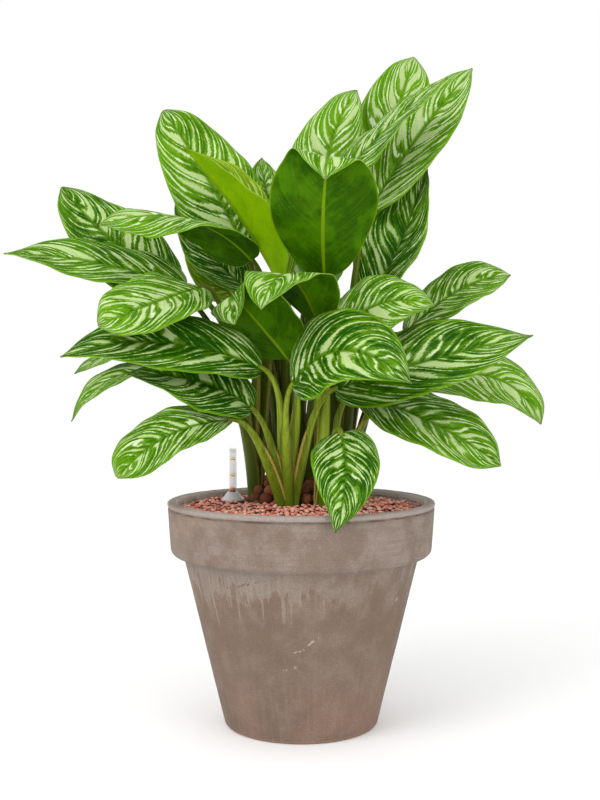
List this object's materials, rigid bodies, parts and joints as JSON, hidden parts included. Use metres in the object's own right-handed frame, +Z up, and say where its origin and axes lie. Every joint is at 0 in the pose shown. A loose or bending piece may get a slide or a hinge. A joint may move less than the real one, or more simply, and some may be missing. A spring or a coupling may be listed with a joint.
{
  "type": "potted striped chinese evergreen",
  "caption": "Aroid house plant with feather-striped leaves on sheathing stalks, in a weathered clay pot filled with clay granulate, with a water-level indicator.",
  "frame": {"origin": "centre of the pot's flat foot, on the pot's axis", "axes": "+Z up along the pot's axis, -Y towards the pictured side, +X to the picture's right"},
  "size_m": [0.6065, 0.3935, 0.7772],
  "materials": {
    "fired_clay": "matte",
    "clay_granulate": "matte",
    "clay_balls": "matte",
    "clear_plastic": "gloss",
    "grey_plastic": "satin",
    "red_plastic": "satin",
    "leaf_stalk": "satin",
    "striped_leaf": "satin",
    "lime_leaf": "satin"
  },
  "bodies": {
    "root": {"pot": "fired_clay", "granulate": "clay_granulate", "clay_balls": "clay_balls", "indicator_tube": "clear_plastic", "indicator_cone": "clear_plastic", "indicator_float": "red_plastic", "indicator_cap": "grey_plastic", "shoot_a": "leaf_stalk", "shoot_b": "leaf_stalk", "shoot_c": "leaf_stalk", "shoot_d": "leaf_stalk", "shoot_e": "leaf_stalk", "shoot_f": "leaf_stalk", "leaf_01": "striped_leaf", "leaf_02": "lime_leaf", "leaf_03": "striped_leaf", "leaf_04": "striped_leaf", "leaf_05": "striped_leaf", "leaf_06": "striped_leaf", "leaf_07": "striped_leaf", "leaf_08": "striped_leaf", "leaf_09": "striped_leaf", "leaf_10": "striped_leaf", "leaf_11": "striped_leaf", "leaf_12": "striped_leaf", "leaf_13": "striped_leaf", "leaf_14": "striped_leaf", "leaf_15": "striped_leaf", "leaf_16": "striped_leaf", "leaf_17": "striped_leaf", "leaf_18": "striped_leaf", "leaf_19": "striped_leaf", "leaf_20": "striped_leaf", "leaf_21": "striped_leaf", "leaf_22": "striped_leaf", "leaf_23": "striped_leaf", "leaf_24": "striped_leaf", "leaf_25": "striped_leaf", "leaf_26": "striped_leaf", "leaf_27": "lime_leaf", "leaf_28": "striped_leaf", "leaf_29": "striped_leaf", "leaf_30": "striped_leaf", "leaf_31": "striped_leaf", "leaf_32": "striped_leaf", "leaf_33": "striped_leaf", "leaf_34": "striped_leaf", "leaf_35": "striped_leaf", "leaf_36": "striped_leaf", "leaf_37": "striped_leaf", "leaf_38": "striped_leaf", "leaf_39": "striped_leaf"}
  },
  "joints": []
}
